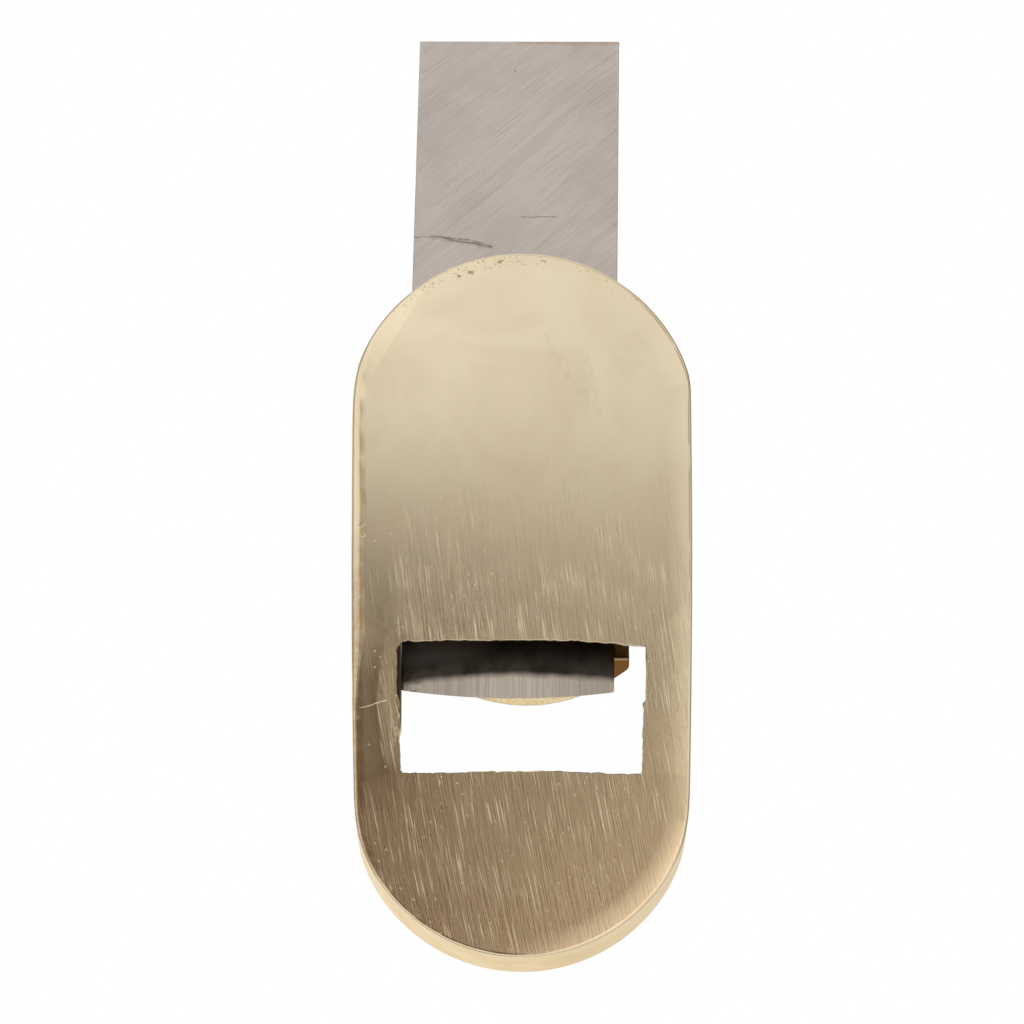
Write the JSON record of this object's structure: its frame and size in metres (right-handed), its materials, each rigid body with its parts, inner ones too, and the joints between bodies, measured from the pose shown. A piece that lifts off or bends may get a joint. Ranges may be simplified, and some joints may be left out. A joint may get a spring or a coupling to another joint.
{
  "type": "finger plane",
  "caption": "Small brass finger plane with an oval flat sole, an iron bedded bevel down, and a rocking lever cap tightened by a thumbscrew.",
  "frame": {"origin": "centre of the flat sole", "axes": "-Z out of the sole, -Y towards the toe, +Y towards the heel and the iron's tail, X across"},
  "size_m": [0.0192, 0.0589, 0.0322],
  "materials": {
    "body_brass": "brushed on the sole, satin on the walls",
    "pin_steel": "drawn rod, dressed ends",
    "iron_steel": "ground, with slanting grinding marks",
    "cap_brass": "drawn bar, sawn and filed ends",
    "stud_steel": "threaded, satin",
    "knob_brass": "turned and knurled"
  },
  "bodies": {
    "plane": {"body": "body_brass", "cross_pin": "pin_steel"},
    "iron": {"iron": "iron_steel"},
    "cap": {"lever_cap": "cap_brass"},
    "stud": {"screw_stud": "stud_steel"},
    "knob": {"screw_knob": "knob_brass"}
  },
  "joints": [
    {"name": "iron_slide", "type": "slide", "parent": "plane", "child": "iron", "axis": [-0.0138, 0.8089, 0.5877], "range_m": [-0.002, 0.015]},
    {"name": "cap_rock", "type": "hinge", "parent": "plane", "child": "cap", "pos_m": [0, 0.00303, 0.01268], "axis": [-1, 0, 0], "range_deg": [0, 7]},
    {"name": "screw_travel", "type": "slide", "parent": "cap", "child": "stud", "axis": [0, -0.6428, 0.766], "range_m": [0, 0.00105]},
    {"name": "screw_turn", "type": "hinge", "parent": "stud", "child": "knob", "pos_m": [-0.00027, 0.00954, 0.01815], "axis": [0, -0.6428, 0.766], "range_deg": [0, 540]}
  ],
  "couplings": [
    {"joint": "cap_rock", "follows": "screw_travel", "rad_per_m": 116.36},
    {"joint": "screw_turn", "follows": "screw_travel", "rad_per_m": 8976}
  ]
}
